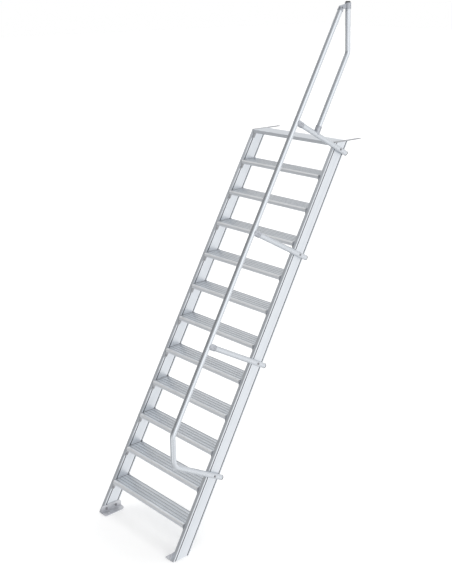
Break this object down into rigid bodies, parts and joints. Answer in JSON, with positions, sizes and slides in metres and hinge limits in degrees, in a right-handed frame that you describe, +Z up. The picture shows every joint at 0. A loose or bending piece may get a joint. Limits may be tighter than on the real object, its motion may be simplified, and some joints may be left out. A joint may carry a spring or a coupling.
{
  "type": "industrial stair",
  "caption": "Steep aluminium industrial stair with hollow stringers, ribbed open treads, floor feet, landing lugs and a round tube handrail on its right side.",
  "frame": {"origin": "centre of the underside of the left foot's floor leg, on the floor", "axes": "+Z up, +Y level towards the landing the stair climbs to, +X to the right of a person who climbs it"},
  "size_m": [1.0703, 2.033, 4.1102],
  "materials": {
    "stringer_aluminium": "extruded, natural mill finish, finely drawn along the slope",
    "ribbed_tread": "extruded, natural mill finish, raised ribs",
    "plain_deck": "extruded, natural mill finish, smooth",
    "end_plate_metal": "darker cast plate, matt",
    "foot_metal": "pressed plate, matt grey",
    "lug_metal": "flat bar, natural finish",
    "rail_tube": "drawn round tube, satin",
    "rail_fitting": "cast fitting, satin",
    "plug_plastic": "grey moulded plug",
    "cap_plastic": "black moulded cap"
  },
  "bodies": {
    "root": {"arm_plugs": "plug_plastic", "foot_left": "foot_metal", "foot_right": "foot_metal", "handrail": "rail_tube", "landing_lug_left": "lug_metal", "landing_lug_right": "lug_metal", "rail_arm_low": "rail_tube", "rail_arm_middle": "rail_tube", "rail_arm_top": "rail_tube", "rail_knuckle": "rail_fitting", "rail_sockets": "rail_fitting", "return_rail": "rail_tube", "return_rail_socket": "rail_fitting", "stringer_left": "stringer_aluminium", "stringer_right": "stringer_aluminium", "top_cap": "cap_plastic", "top_collar": "rail_fitting", "top_tread": "plain_deck", "top_tread_ends": "end_plate_metal", "tread_01": "ribbed_tread", "tread_02": "ribbed_tread", "tread_03": "ribbed_tread", "tread_04": "ribbed_tread", "tread_05": "ribbed_tread", "tread_06": "ribbed_tread", "tread_07": "ribbed_tread", "tread_08": "ribbed_tread", "tread_09": "ribbed_tread", "tread_10": "ribbed_tread", "tread_11": "ribbed_tread", "tread_ends_01": "end_plate_metal", "tread_ends_02": "end_plate_metal", "tread_ends_03": "end_plate_metal", "tread_ends_04": "end_plate_metal", "tread_ends_05": "end_plate_metal", "tread_ends_06": "end_plate_metal", "tread_ends_07": "end_plate_metal", "tread_ends_08": "end_plate_metal", "tread_ends_09": "end_plate_metal", "tread_ends_10": "end_plate_metal", "tread_ends_11": "end_plate_metal"}
  },
  "joints": []
}
